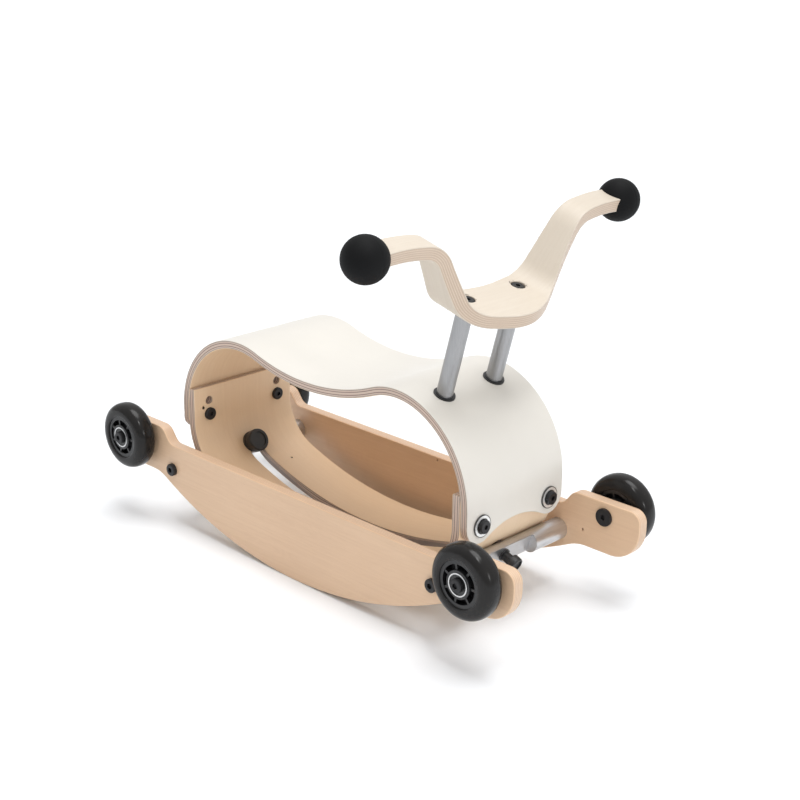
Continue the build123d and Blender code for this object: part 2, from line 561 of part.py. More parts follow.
def make_wheels():
    bolts, spacers, sleeves, nuts = [], [], [], []
    outer = WHEEL_Y + WHEEL_W / 2
    inner = WHEEL_Y - WHEEL_W / 2
    play = 0.05
    for end_name, end in ENDS.items():
        for side_name, side in SIDES.items():
            name = f"{end_name}_{side_name}"
            tyre, core, bearings = wheel_parts(end, side)
            add(f"{name}_tyre", tyre)
            add(f"{name}_core", core)
            add(f"{name}_bearings", *bearings)
            origin, out = (end * AXLE_X, 0, AXLE_Z), (0, side, 0)
            spacers.append(ring(origin, out, RAIL_OUTER_Y, inner - play, 6.5, AXLE_R))
            sleeves.append(ring(origin, out, inner + BEARING_W + play, outer - BEARING_W - play, 5.5, AXLE_R))
            shank = rod(origin, out, RAIL_INNER_Y + 1, outer + play, AXLE_R)
            bolts.append(shank + socket_head((end * AXLE_X, side * (outer + play), AXLE_Z), out, AXLE_HEAD_T, 6.6, 3.0))
            flange = rod(origin, out, RAIL_INNER_Y - 2.4, RAIL_INNER_Y, 9.0)
            barrel = rod(origin, out, RAIL_INNER_Y, RAIL_OUTER_Y - 1, 6.0)
            key_at = Plane(origin=(end * AXLE_X, side * (RAIL_INNER_Y - 2.4), AXLE_Z), z_dir=out)
            key = extrude(key_at * RegularPolygon(3.0, 6), amount=2)
            nuts.append(flange + barrel - rod(origin, out, RAIL_INNER_Y + 1, RAIL_OUTER_Y, AXLE_R) - key)
    add("axle_bolts", *bolts)
    add("wheel_spacers", *spacers)
    add("bearing_sleeves", *sleeves)
    add("axle_nuts", *nuts)


# ---------------------------------------------------------------- build and write
make_rails()
make_seat()
make_cradle()
make_seat_bolts()
make_crossbars()
make_clamps()
make_handlebar()
make_posts()
make_wheels()

os.makedirs("parts", exist_ok=True)
for old in os.listdir("parts"):
    os.remove(os.path.join("parts", old))
for name, solids in nodes.items():
    shape = solids[0] if len(solids) == 1 else Compound(children=solids)
    export_step(shape, f"parts/{name}.step")
print(len(nodes), "nodes written")
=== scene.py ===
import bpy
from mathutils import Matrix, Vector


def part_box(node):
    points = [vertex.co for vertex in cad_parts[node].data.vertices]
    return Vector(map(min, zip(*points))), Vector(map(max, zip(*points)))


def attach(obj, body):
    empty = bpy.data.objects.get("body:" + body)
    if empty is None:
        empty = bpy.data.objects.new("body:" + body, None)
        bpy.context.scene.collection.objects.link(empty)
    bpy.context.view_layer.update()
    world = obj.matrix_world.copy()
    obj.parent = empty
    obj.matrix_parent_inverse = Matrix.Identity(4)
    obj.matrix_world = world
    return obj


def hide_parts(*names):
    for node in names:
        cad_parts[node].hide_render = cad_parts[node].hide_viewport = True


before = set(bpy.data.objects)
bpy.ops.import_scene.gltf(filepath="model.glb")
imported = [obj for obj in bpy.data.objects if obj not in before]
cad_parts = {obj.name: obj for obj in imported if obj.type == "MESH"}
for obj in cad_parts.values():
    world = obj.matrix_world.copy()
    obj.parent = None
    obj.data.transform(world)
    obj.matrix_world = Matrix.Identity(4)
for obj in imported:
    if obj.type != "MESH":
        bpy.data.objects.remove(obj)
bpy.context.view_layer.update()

from math import asin, atan2, cos, degrees, pi, radians, sin, sqrt

import bmesh
import bpy
import numpy as np
from mathutils import Matrix, Vector

MM = 0.001

# ---------------------------------------------------------------- sizes, in millimetres
# Read from the frame.
def limits(node):
    low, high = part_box(node)
    return low / MM, high / MM


def middle(node):
    low, high = limits(node)
    return (low + high) / 2


AXLE = middle("front_left_tyre")
AXLE_Z = AXLE.z
WHEEL_R = (limits("front_left_tyre")[1].z - limits("front_left_tyre")[0].z) / 2
WHEEL_W = limits("front_left_tyre")[1].y - limits("front_left_tyre")[0].y
TYRE_WALL, TYRE_FULLNESS = 2.2, 2.45
CORE_R = (limits("front_left_core")[1].z - limits("front_left_core")[0].z) / 2
RAIL_INNER_Y = limits("left_rail")[0].y
RAIL_OUTER_Y = limits("left_rail")[1].y
RAIL_HALF_L = limits("left_rail")[1].x
ARM_TOP_Z = limits("left_rail")[1].z
SHELL_HALF_W = limits("seat_shell")[1].y
SEAT_OUT_X = limits("seat_shell")[1].x
CRADLE_OUT_X = limits("cradle")[1].x
CRADLE_REAR_TOP_Z = limits("cradle")[1].z
CROSSBAR = middle("front_crossbar")
BAR_END_Y = limits("handlebar")[1].y
POST_Y = middle("left_post").y
BALL_R = (limits("left_grip")[1].x - limits("left_grip")[0].x) / 2

# The rest repeats the part's driving dimensions.
ROCKER_R = 458.0
RAIL_TOP_Z = AXLE_Z - 1.5
ARM_BOTTOM_Z = AXLE_Z - 37.8
STEP_LOW_X = 195.9
STEP_HIGH_X = 208.7
RAIL_JOIN_R, NOSE_LOW_R, NOSE_TOP_R, STEP_HIGH_R, STEP_LOW_R = 45.0, 33.0, 12.0, 14.0, 12.0
RAIL_PINS = ((26.7, AXLE_Z - 5.5), (221.6, AXLE_Z - 21.4))
PIN_R, PIN_DEPTH = 1.1, 5.0
CROSSBAR_HOLE_R, AXLE_HOLE_R = 4.05, 6.05
CRADLE_PIN = (-143.8, 30.7)
UPRIGHT_PIN = (-56.4, AXLE_Z + 32.3)

PLY_SEAT = SEAT_OUT_X - CRADLE_OUT_X
PLY_CRADLE = 10.0
PLY_BAR = 13.0
CRADLE_IN_X = CRADLE_OUT_X - PLY_CRADLE
CRADLE_CORNER_R = 55.0
CRADLE_FLOOR_R = 427.4
CRADLE_FRONT_TOP_Z = AXLE_Z + 51.0
SLOT_HALF_W = 9.0
SLOT_PAST_CORNER, SLOT_ABOVE_BAR = 42, 17
CLAMP_TILT = {1: radians(22), -1: radians(30)}  # by end: 1 is the front, -1 the rear

SEAT_BEND_Z = AXLE_Z + 35.0
SEAT_BENDS = ((76, -10), (94, -98), (243, 40), (85, -42))
SEAT_BOLT_Y = 48.0
FRONT_BOLT_Z = AXLE_Z + 19.4
REAR_BOLT_Z = AXLE_Z + 24.2
SPARE_HOLE_Z = AXLE_Z + 39.2
SPARE_HOLE_R = 4.5
SHANK_HOLE_R, BARREL_HOLE_R = 3.0, 4.0
LOBE_R, LOBE_RISE = 18.5, 1.1
ARCH_TOP_Z = AXLE_Z + 15.0
REAR_LEG_Z = AXLE_Z + 8.0
REAR_CORNER_R = 12.0

POST_LEAN = radians(15)
POST_FOOT = (144.7, AXLE_Z + 128.0)
POST_HOLE_R = 9.5
BAR_SEAT_T = 100.0
TOP_BEND_R, SHOULDER_R, ARM_CROWN_R = 28.0, 34.0, 220.0
BAR_RISE_DEG, ARM_START_DEG, ARM_END_DEG = 60.0, 8.0, 7.0
PLATEAU_HALF_W = 36.5
RISE_LENGTH = 42.5
BAR_FRONT = ((45, 0), (30, 45), (12, 80), (5.5, 115), (4, 170))
BAR_REAR = ((-13, 0), (-18, 45), (-18.5, 80), (-19, 115), (-20.5, 170))
SCREW_RECESS_R, SCREW_RECESS_D, SCREW_HOLE_R = 7.0, 3.5, 4.0
SEAM_DEPTH, SEAM_HALF_W = 0.18, 0.45

RAIL_EDGE_R, SHELL_EDGE_R, BAR_EDGE_R = 1.2, 0.7, 0.9
SHARP_DEG = 50
PAST = 3.0  # how far a drilled hole starts before a face and ends behind it
RAIL_GRAIN, CRADLE_GRAIN, BAR_GRAIN = 900, 2000, 3000  # each board's own place along the grain

CORNER_X = CRADLE_IN_X - CRADLE_CORNER_R
CORNER_Z = ROCKER_R - sqrt((CRADLE_FLOOR_R - CRADLE_CORNER_R) ** 2 - CORNER_X ** 2)
SIDES = {"left": 1, "right": -1}


# ---------------------------------------------------------------- lines in a plane
def run(points, headings, length, step):
    """Adds a straight run to a line kept as points and headings."""
    at, way = np.array(points[-1]), headings[-1]
    count = max(1, round(length / step))
    for i in range(1, count + 1):
        points.append(tuple(at + np.array((cos(way), sin(way))) * length * i / count))
        headings.append(way)


def bend(points, headings, radius, turn, step):
    """Adds a tangent arc, turn degrees to the left."""
    at, way = np.array(points[-1]), headings[-1]
    side = 1 if turn > 0 else -1
    centre = at + radius * side * np.array((-sin(way), cos(way)))
    count = max(2, round(radius * abs(radians(turn)) / step))
    for i in range(1, count + 1):
        angle = way + radians(turn) * i / count
        points.append(tuple(centre - radius * side * np.array((-sin(angle), cos(angle)))))
        headings.append(angle)


def right_of(headings):
    return np.array([(sin(h), -cos(h)) for h in headings])


def even(points, count):
    """The same line, as count + 1 points at even distances."""
    points = np.array(points, float)
    along = np.concatenate([[0], np.cumsum(np.linalg.norm(np.diff(points, axis=0), axis=1))])
    wanted = np.linspace(0, along[-1], count + 1)
    return np.stack([np.interp(wanted, along, points[:, k]) for k in (0, 1)], axis=1)


def filleted(corners, step=1.5):
    """A line through corners, each (x, z, radius), with its corners rounded."""
    points = []
    last = len(corners) - 1
    for i, (x, z, radius) in enumerate(corners):
        here = np.array((x, z))
        if radius == 0 or i in (0, last):
            points.append(here)
            continue
        back = np.array(corners[i - 1][:2]) - here
        ahead = np.array(corners[i + 1][:2]) - here
        back, ahead = back / np.linalg.norm(back), ahead / np.linalg.norm(ahead)
        half = np.arccos(np.clip(back @ ahead, -1, 1)) / 2
        centre = here + (back + ahead) / np.linalg.norm(back + ahead) * radius / sin(half)
        start, end = [here + way * radius / np.tan(half) - centre for way in (back, ahead)]
        sweep = atan2(start[0] * end[1] - start[1] * end[0], start @ end)
        count = max(3, round(abs(sweep) * radius / step))
        for t in np.linspace(0, sweep, count + 1):
            turn = np.array(((cos(t), -sin(t)), (sin(t), cos(t))))
            points.append(centre + turn @ start)
    return points


def smooth_through(knots):
    """A natural cubic through (value, place) knots, level at place 0: returns a function of place."""
    value, place = np.array(knots, float).T
    value = np.concatenate([value[:0:-1], value])
    place = np.concatenate([-place[:0:-1], place])
    gap, rise = np.diff(place), np.diff(value) / np.diff(place)
    size = len(place)
    system, target = np.eye(size), np.zeros(size)
    for i in range(1, size - 1):
        system[i, i - 1:i + 2] = gap[i - 1], 2 * (gap[i - 1] + gap[i]), gap[i]
        target[i] = 6 * (rise[i] - rise[i - 1])
    curve = np.linalg.solve(system, target)

    def at(where):
        i = int(np.clip(np.searchsorted(place, where) - 1, 0, size - 2))
        a, b = place[i + 1] - where, where - place[i]
        return ((curve[i] * a ** 3 + curve[i + 1] * b ** 3) / (6 * gap[i])
                + (value[i] / gap[i] - curve[i] * gap[i] / 6) * a
                + (value[i + 1] / gap[i] - curve[i + 1] * gap[i] / 6) * b)
    return at


# ---------------------------------------------------------------- meshes
def mesh_object(name, points, faces):
    """An object from points in millimetres."""
    mesh = bpy.data.meshes.new(name)
    mesh.from_pydata([tuple(float(c) * MM for c in p) for p in points], [], faces)
    mesh.validate()
    made = bmesh.new()
    made.from_mesh(mesh)
    bmesh.ops.recalc_face_normals(made, faces=made.faces)
    made.to_mesh(mesh)
    made.free()
    item = bpy.data.objects.new(name, mesh)
    bpy.context.scene.collection.objects.link(item)
    return item


def sheet_solid(name, outer, inner):
    """A closed solid from two grids of points that face each other, row by row."""
    rows, columns = len(outer), len(outer[0])
    points = [p for row in outer for p in row] + [p for row in inner for p in row]
    half = rows * columns
    faces = []
    for r in range(rows - 1):
        for c in range(columns - 1):
            a = r * columns + c
            quad = (a, a + 1, a + columns + 1, a + columns)
            faces += [quad, tuple(v + half for v in reversed(quad))]
    for r in range(rows - 1):
        for c in (0, columns - 1):
            a = r * columns + c
            faces.append((a, a + columns, a + columns + half, a + half))
    for c in range(columns - 1):
        for r in (0, rows - 1):
            a = r * columns + c
            faces.append((a, a + 1, a + 1 + half, a + half))
    return mesh_object(name, points, faces)


def prism(name, outline, low, high):
    """A flat board: an outline of (x, z) between two values of y."""
    count = len(outline)
    points = [(x, y, z) for y in (low, high) for x, z in outline]
    faces = [tuple(range(count)), tuple(range(2 * count - 1, count - 1, -1))]
    faces += [(i, (i + 1) % count, (i + 1) % count + count, i + count) for i in range(count)]
    return mesh_object(name, points, faces)


def lathe(name, profile, centre, axis, segments=96, closed=False):
    """A turned solid: profile is (radius, along) and may start and end on the axis."""
    turn = Vector((0, 0, 1)).rotation_difference(Vector(axis)).to_matrix()
    points, faces, rings = [], [], []
    for radius, along in profile:
        if radius < 1e-6:
            rings.append([len(points)])
            points.append(Vector(centre) + turn @ Vector((0, 0, along)))
            continue
        rings.append(list(range(len(points), len(points) + segments)))
        for i in range(segments):
            angle = 2 * pi * i / segments
            points.append(Vector(centre) + turn @ Vector((radius * cos(angle), radius * sin(angle), along)))
    pairs = list(zip(rings, rings[1:])) + ([(rings[-1], rings[0])] if closed else [])
    for a, b in pairs:
        for i in range(segments):
            j = (i + 1) % segments
            face = [a[i % len(a)], a[j % len(a)], b[j % len(b)], b[i % len(b)]]
            faces.append(tuple(dict.fromkeys(face)))
    return mesh_object(name, points, faces)


def rod(points, faces, origin, direction, start, end, radius, sides=48):
    """Adds a closed cylinder to a list of points and faces."""
    axis = Vector(direction).normalized()
    turn = Vector((0, 0, 1)).rotation_difference(axis).to_matrix()
    base = len(points)
    for along in (start, end):
        for i in range(sides):
            angle = 2 * pi * i / sides
            points.append(Vector(origin) + turn @ Vector((radius * cos(angle), radius * sin(angle), along)))
    faces += [tuple(base + i for i in reversed(range(sides))), tuple(base + sides + i for i in range(sides))]
    for i in range(sides):
        following = (i + 1) % sides
        faces.append((base + i, base + following, base + sides + following, base + sides + i))


def use_modifiers(item):
    """Replaces an object's mesh by what its modifiers make of it."""
    bpy.context.view_layer.update()
    made = bpy.data.meshes.new_from_object(item.evaluated_get(bpy.context.evaluated_depsgraph_get()))
    item.modifiers.clear()
    item.data = made


def cut(item, cutter):
    """Takes the cutter's shape out of an object and deletes the cutter."""
    modifier = item.modifiers.new("cut", "BOOLEAN")
    modifier.operation = "DIFFERENCE"
    modifier.solver = "EXACT"
    modifier.object = cutter
    use_modifiers(item)
    bpy.data.objects.remove(cutter)


def drill(item, holes):
    """Cuts holes, each (origin, direction, start, end, radius)."""
    points, faces = [], []
    for hole in holes:
        rod(points, faces, *hole)
    cut(item, mesh_object("drill", points, faces))


def soften(item, width):
    """Rounds an object's sharp edges and shades it smooth."""
    modifier = item.modifiers.new("bevel", "BEVEL")
    modifier.width = width * MM
    modifier.segments = 3
    modifier.limit_method = "ANGLE"
    modifier.angle_limit = radians(SHARP_DEG)
    modifier.use_clamp_overlap = False
    modifier.harden_normals = False
    use_modifiers(item)
    item.data.shade_smooth()
    modifier = item.modifiers.new("normals", "WEIGHTED_NORMAL")
    modifier.keep_sharp = True
    use_modifiers(item)


def stand_for(item, node, finish, body="root"):
    """Puts an object in a CAD node's place."""
    item.data.materials.clear()
    item.data.materials.append(finish)
    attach(item, body)
    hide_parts(node)


def lay_plies(item, place):
    """Stores each point's place in the board, in metres: along the grain, across it, and under one face."""
    points = np.array([v.co for v in item.data.vertices]) / MM
    layout = np.array(place(points)) * MM
    attribute = item.data.attributes.new("ply", "FLOAT_VECTOR", "POINT")
    attribute.data.foreach_set("vector", layout.astype(np.float32).ravel())


def along_line(points, line):
    """For (u, v) points, the distance along a line of points and the distance from it."""
    line = np.array(line)
    start, step = line[:-1], np.diff(line, axis=0)
    length = np.linalg.norm(step, axis=1)
    before = np.concatenate([[0], np.cumsum(length)[:-1]])
    along, off = np.zeros(len(points)), np.zeros(len(points))
    for i, p in enumerate(points):
        share = np.clip(((p - start) * step).sum(1) / length ** 2, 0, 1)
        gap = np.linalg.norm(p - start - step * share[:, None], axis=1)
        best = gap.argmin()
        along[i], off[i] = before[best] + share[best] * length[best], gap[best]
    return along, off


# ---------------------------------------------------------------- materials
def new_material(name, settings):
    """A material and its shader, with the shader's own constants set."""
    finish = bpy.data.materials.new(name)
    finish.use_nodes = True
    shader = finish.node_tree.nodes["Principled BSDF"]
    for socket, value in settings.items():
        shader.inputs[socket].default_value = value
    return finish, shader


class Net:
    """Short ways to add and join shader nodes."""

    def __init__(self, finish, shader):
        self.tree = finish.node_tree
        self.shader = shader

    def node(self, kind, inputs=None, **settings):
        made = self.tree.nodes.new(kind)
        for name, value in settings.items():
            setattr(made, name, value)
        for name, value in (inputs or {}).items():
            if isinstance(value, bpy.types.NodeSocket):
                self.tree.links.new(value, made.inputs[name])
            else:
                made.inputs[name].default_value = value
        return made

    def math(self, operation, a, b=0.0):
        made = self.node("ShaderNodeMath", {0: a, 1: b}, operation=operation)
        return made.outputs[0]

    def noise(self, vector, scale, detail=3.0, stretch=(1, 1, 1), rough=0.55, twist=0.0, turn=(0, 0, 0)):
        """Noise, with vector stretched first; returns its value."""
        mapped = self.node("ShaderNodeMapping", {"Vector": vector, "Scale": stretch, "Rotation": turn})
        settings = {"Vector": mapped.outputs[0], "Scale": scale, "Detail": detail}
        settings.update({"Roughness": rough, "Distortion": twist})
        return self.node("ShaderNodeTexNoise", settings).outputs["Fac"]

    def remap(self, value, low, high, to_low=0.0, to_high=1.0):
        inputs = {"Value": value, "From Min": low, "From Max": high, "To Min": to_low, "To Max": to_high}
        return self.node("ShaderNodeMapRange", inputs).outputs["Result"]

    def ramp(self, value, stops):
        """Flat steps of colour from (place, colour) stops."""
        made = self.node("ShaderNodeValToRGB", {"Fac": value})
        ramp = made.color_ramp
        ramp.interpolation = "CONSTANT"
        while len(ramp.elements) < len(stops):
            ramp.elements.new(1.0)
        for element, (place, colour) in zip(ramp.elements, stops):
            element.position = place
            element.color = (*colour, 1)
        return made.outputs["Color"]

    def mix(self, share, a, b, blend="MIX"):
        made = self.node("ShaderNodeMix", data_type="RGBA", blend_type=blend)
        for socket, value in ((made.inputs[0], share), (made.inputs[6], a), (made.inputs[7], b)):
            if isinstance(value, bpy.types.NodeSocket):
                self.tree.links.new(value, socket)
            else:
                socket.default_value = (*value, 1) if isinstance(value, tuple) else value
        return made.outputs[2]

    def bump(self, height, distance, strength):
        inputs = {"Height": height, "Distance": distance, "Strength": strength}
        return self.node("ShaderNodeBump", inputs).outputs["Normal"]

    def feed(self, **sockets):
        for name, value in sockets.items():
            self.tree.links.new(value, self.shader.inputs[name.replace("_", " ")])


def shade(colour, factor):
    return tuple(c * factor for c in colour)


def plywood(name, thickness, face, grain, plies, skin=0.7, laminate=None, dark=None):
    """Bent or flat plywood: face and grain are the tones of its veneer, plies those of its edge layers.

    skin is the veneer's thickness. A laminate covers the first face. dark is the tone of the outermost plies.
    """
    finish, shader = new_material(name, {"Roughness": 0.45, "Coat Weight": 0.12, "Coat Roughness": 0.3})
    net = Net(finish, shader)
    place = net.node("ShaderNodeAttribute", attribute_name="ply").outputs["Vector"]
    depth = net.node("ShaderNodeSeparateXYZ", {"Vector": place}).outputs["Z"]
    share = net.math("DIVIDE", depth, thickness * MM)

    streaks = net.noise(place, 1.0, 6.0, (7, 330, 330), 0.6, 0.35)
    figure = net.noise(place, 1.0, 3.0, (5.5, 42, 42), 0.5, 1.4)
    rings = net.math("FRACT", net.math("MULTIPLY", figure, 9.0))
    rings = net.math("ABSOLUTE", net.math("SUBTRACT", rings, 0.5))
    cloud = net.noise(place, 1.0, 2.0, (4, 11, 11), 0.5)
    flecks = net.noise(place, 1.0, 2.0, (240, 2100, 2100), 0.5)
    flecks = net.remap(flecks, 0.62, 0.74)
    tone = net.math("ADD", net.remap(streaks, 0.3, 0.72, 0.0, 0.34), net.remap(rings, 0.0, 0.5, 0.0, 0.14))
    tone = net.math("ADD", tone, net.remap(cloud, 0.3, 0.7, -0.06, 0.20))
    veneer = net.mix(tone, face, grain)
    veneer = net.mix(net.math("MULTIPLY", flecks, 0.16), veneer, shade(grain, 0.62))

    count = len(plies)
    first = skin / thickness
    pitch = (1 - 2 * first) / count
    glue = shade(plies[0], 0.80)
    glue_line, outer_ply = 0.12 / thickness, 0.75 / thickness
    stops = []
    for i, colour in enumerate(plies):
        stops += [(first + pitch * i, glue), (first + pitch * i + glue_line, colour)]
    stops += [(1 - first, glue), (1 - first + glue_line, plies[-1])]
    if dark:
        stops[:2] = (first, dark), (first + outer_ply, plies[0])
        stops[-2] = (1 - first - outer_ply, dark)
    layers = net.ramp(share, stops)
    fibres = net.noise(place, 1.0, 4.0, (60, 700, 1400), 0.65)
    ends = net.noise(place, 1.0, 2.0, (1900, 500, 1900), 0.6)
    layers = net.mix(net.remap(fibres, 0.25, 0.75, 0.0, 0.3), layers, shade(plies[0], 0.85))
    layers = net.mix(net.remap(ends, 0.5, 0.8, 0.0, 0.25), layers, shade(plies[0], 0.6))
    under_first, above_last = net.math("GREATER_THAN", share, first), net.math("LESS_THAN", share, 1 - first)
    inside = net.math("MULTIPLY", under_first, above_last)
    colour = net.mix(inside, veneer, layers)
    rough = net.remap(streaks, 0.3, 0.7, 0.4, 0.52)
    height = net.math("ADD", net.math("MULTIPLY", streaks, 0.5), net.math("MULTIPLY", flecks, -0.5))
    height = net.math("ADD", height, net.math("MULTIPLY", net.math("MULTIPLY", ends, inside), 0.8))
    if laminate:
        on_skin = net.math("LESS_THAN", share, 0.55 / thickness)
        pebble = net.noise(place, 900.0, 2.0)
        tint = net.noise(place, 14.0, 3.0)
        sheet = net.mix(net.remap(tint, 0.3, 0.7), laminate, shade(laminate, 0.965))
        colour = net.mix(on_skin, colour, sheet)
        rough = net.math("MULTIPLY", rough, net.remap(on_skin, 0, 1, 1.0, 0.8))
        height = net.math("MULTIPLY", height, net.remap(on_skin, 0, 1, 1.0, 0.06))
        height = net.math("ADD", height, net.math("MULTIPLY", net.math("MULTIPLY", pebble, on_skin), 0.12))
    net.feed(Base_Color=colour, Roughness=rough, Normal=net.bump(height, 0.00006, 0.7))
    return finish


def metal(name, colour, roughness, stretch, turn=(0, 0, 0), metallic=1.0):
    """Bare or plated metal with fine lines along one axis."""
    finish, shader = new_material(name, {"Metallic": metallic})
    net = Net(finish, shader)
    place = net.node("ShaderNodeTexCoord").outputs["Object"]
    lines = net.noise(place, 1.0, 5.0, stretch, 0.6, 0.0, turn)
    smear = net.noise(place, 45.0, 3.0)
    tint = net.mix(net.remap(lines, 0.3, 0.7, 0.0, 1.0), shade(colour, 0.86), colour)
    tint = net.mix(net.remap(smear, 0.4, 0.75, 0.0, 0.25), tint, shade(colour, 0.8))
    along_lines = net.remap(lines, 0.3, 0.7, roughness - 0.05, roughness + 0.06)
    rough = net.math("ADD", along_lines, net.remap(smear, 0.35, 0.7, 0, 0.05))
    net.feed(Base_Color=tint, Roughness=rough, Normal=net.bump(lines, 0.00002, 0.5))
    return finish


def ringed(name, centre, plane, bands, roughness):
    """Metal in rings about an axis that is mirrored on the other side: bands are (from radius, colour)."""
    finish, shader = new_material(name, {})
    net = Net(finish, shader)
    place = net.node("ShaderNodeTexCoord").outputs["Object"]
    centre = tuple(c * MM for c in centre)
    mirrored = net.node("ShaderNodeVectorMath", {0: place}, operation="ABSOLUTE").outputs[0]
    away = net.node("ShaderNodeVectorMath", {0: mirrored, 1: centre}, operation="SUBTRACT").outputs[0]
    flat = net.node("ShaderNodeVectorMath", {0: away, 1: plane}, operation="MULTIPLY").outputs[0]
    radius = net.node("ShaderNodeVectorMath", {0: flat}, operation="LENGTH").outputs["Value"]
    reach = 20.0 * MM
    stops = [(r * MM / reach, c) for r, c in bands]
    colour = net.ramp(net.math("DIVIDE", radius, reach), stops)
    smear = net.noise(place, 260.0, 3.0)
    colour = net.mix(net.remap(smear, 0.35, 0.7, 0.0, 0.5), colour, (0.0, 0.0, 0.0), "SOFT_LIGHT")
    rough = net.remap(smear, 0.3, 0.7, roughness - 0.05, roughness + 0.08)
    bright = net.math("GREATER_THAN", net.math("DIVIDE", radius, reach), bands[1][0] * MM / reach)
    net.feed(Base_Color=colour, Roughness=rough, Metallic=bright, Normal=net.bump(smear, 0.00001, 0.4))
    return finish


def plastic(name, colour, roughness, grain=1500.0, depth=0.00003, shine=0.5):
    """Moulded plastic or rubber with a fine surface grain and slight wear."""
    finish, shader = new_material(name, {"Specular IOR Level": shine})
    net = Net(finish, shader)
    place = net.node("ShaderNodeTexCoord").outputs["Object"]
    pebble = net.noise(place, grain, 3.0)
    smear = net.noise(place, 38.0, 4.0, twist=0.4)
    dust = net.noise(place, 420.0, 2.0)
    tint = net.mix(net.remap(smear, 0.3, 0.7), shade(colour, 0.85), shade(colour, 1.15))
    tint = net.mix(net.remap(dust, 0.66, 0.78, 0.0, 0.12), tint, shade(colour, 2.2))
    rough = net.remap(smear, 0.3, 0.7, roughness - 0.06, roughness + 0.06)
    net.feed(Base_Color=tint, Roughness=rough, Normal=net.bump(pebble, depth, 0.8))
    return finish


BEECH, BEECH_GRAIN = (0.76, 0.535, 0.355), (0.64, 0.42, 0.265)
BIRCH, BIRCH_GRAIN = (0.64, 0.57, 0.48), (0.57, 0.49, 0.395)
BIRCH_PALE_EDGE, BIRCH_TAN_EDGE = (0.66, 0.545, 0.43), (0.54, 0.41, 0.31)
LIGHT_PLY, BROWN_PLY, GREY_PLY = (0.64, 0.50, 0.41), (0.19, 0.115, 0.095), (0.26, 0.215, 0.195)
PALE_EDGE, TAN_EDGE = (0.78, 0.59, 0.43), (0.62, 0.42, 0.28)
IVORY = (0.72, 0.69, 0.635)
SHELL_VENEER, SHELL_GRAIN = (0.83, 0.645, 0.45), (0.75, 0.56, 0.375)
SHELL_PLIES = (LIGHT_PLY, LIGHT_PLY, BROWN_PLY, LIGHT_PLY, LIGHT_PLY, BROWN_PLY, LIGHT_PLY, LIGHT_PLY)

rail_wood = plywood("rail_beech", RAIL_OUTER_Y - RAIL_INNER_Y, BEECH, BEECH_GRAIN,
                    (TAN_EDGE, PALE_EDGE) * 4 + (TAN_EDGE,), skin=1.3)
cradle_wood = plywood("cradle_beech", PLY_CRADLE, SHELL_VENEER, SHELL_GRAIN, SHELL_PLIES, dark=GREY_PLY)
seat_wood = plywood("seat_laminate_ply", PLY_SEAT, SHELL_VENEER, SHELL_GRAIN, SHELL_PLIES,
                    laminate=IVORY, dark=GREY_PLY)
bar_wood = plywood("handlebar_birch", PLY_BAR, BIRCH, BIRCH_GRAIN,
                   (BIRCH_TAN_EDGE, BIRCH_PALE_EDGE) * 5 + (BIRCH_TAN_EDGE,), skin=1.0)
# The posts use the tubes' satin aluminium at about half its brightness: painted shade.
post_metal_painted_shade = metal("satin_aluminium_posts_painted_shade", (0.37, 0.37, 0.375), 0.34, (900, 900, 9), (0, -POST_LEAN, 0))
tube_metal = metal("satin_aluminium_tubes", (0.66, 0.66, 0.67), 0.34, (900, 9, 900))
washer_metal = metal("zinc_plate", (0.78, 0.78, 0.77), 0.24, (300, 300, 300))
# Cup washers: silver from 7.6 to 10.2 mm. The dark band inside 7.6 mm is painted shade under the bolt head.
# The dark band beyond 10.2 mm is a painted shadow round the washer's rim.
cup_metal_painted_shade = ringed("zinc_cup_washers_painted_shade", (0.0, SEAT_BOLT_Y, FRONT_BOLT_Z), (0, 1, 1),
                   ((0.0, (0.05, 0.05, 0.05)), (7.6, (0.85, 0.85, 0.84)), (10.2, (0.14, 0.14, 0.14))), 0.5)
bearing_metal = ringed("shielded_bearings", (AXLE.x, 0.0, AXLE_Z), (1, 0, 1),
                       ((0.0, (0.012, 0.012, 0.012)), (9.8, (0.66, 0.66, 0.66))), 0.28)
black_steel = metal("black_oxide_steel", (0.035, 0.035, 0.037), 0.42, (420, 420, 420), metallic=0.65)
black_plastic = plastic("moulded_black_plastic", (0.02, 0.02, 0.021), 0.45)
grip_rubber = plastic("grip_rubber", (0.0035, 0.0037, 0.0042), 0.66, 1900.0, 0.00006, shine=0.16)
tyre_rubber = plastic("tyre_urethane", (0.013, 0.012, 0.0115), 0.2, 700.0, 0.000005, shine=0.24)
core_plastic = plastic("core_plastic", (0.011, 0.011, 0.012), 0.4, 900.0)


# ---------------------------------------------------------------- rails
def rail_outline():
    join_x = sqrt((ROCKER_R + RAIL_JOIN_R) ** 2 - (ROCKER_R + RAIL_JOIN_R - ARM_BOTTOM_Z) ** 2)
    reach = asin(join_x / (ROCKER_R + RAIL_JOIN_R))
    angles = np.linspace(-reach, reach, 121)
    low = [(ROCKER_R * sin(a), ROCKER_R - ROCKER_R * cos(a)) for a in angles]
    hollow = []
    for t in np.linspace(0, 1, 13)[1:]:
        a = reach * (1 - t)
        hollow.append((join_x - RAIL_JOIN_R * sin(a), ARM_BOTTOM_Z - RAIL_JOIN_R + RAIL_JOIN_R * cos(a)))
    nose = [(RAIL_HALF_L, ARM_BOTTOM_Z, NOSE_LOW_R), (RAIL_HALF_L, ARM_TOP_Z, NOSE_TOP_R)]
    step = [(STEP_HIGH_X, ARM_TOP_Z, STEP_HIGH_R), (STEP_LOW_X, RAIL_TOP_Z, STEP_LOW_R)]
    corners = [(*hollow[-1], 0), *nose, *step, (0, RAIL_TOP_Z, 0)]
    front = hollow[:-1] + [tuple(p) for p in filleted(corners)]
    rear = [(-x, z) for x, z in reversed(front[:-1])]
    return low + front + rear


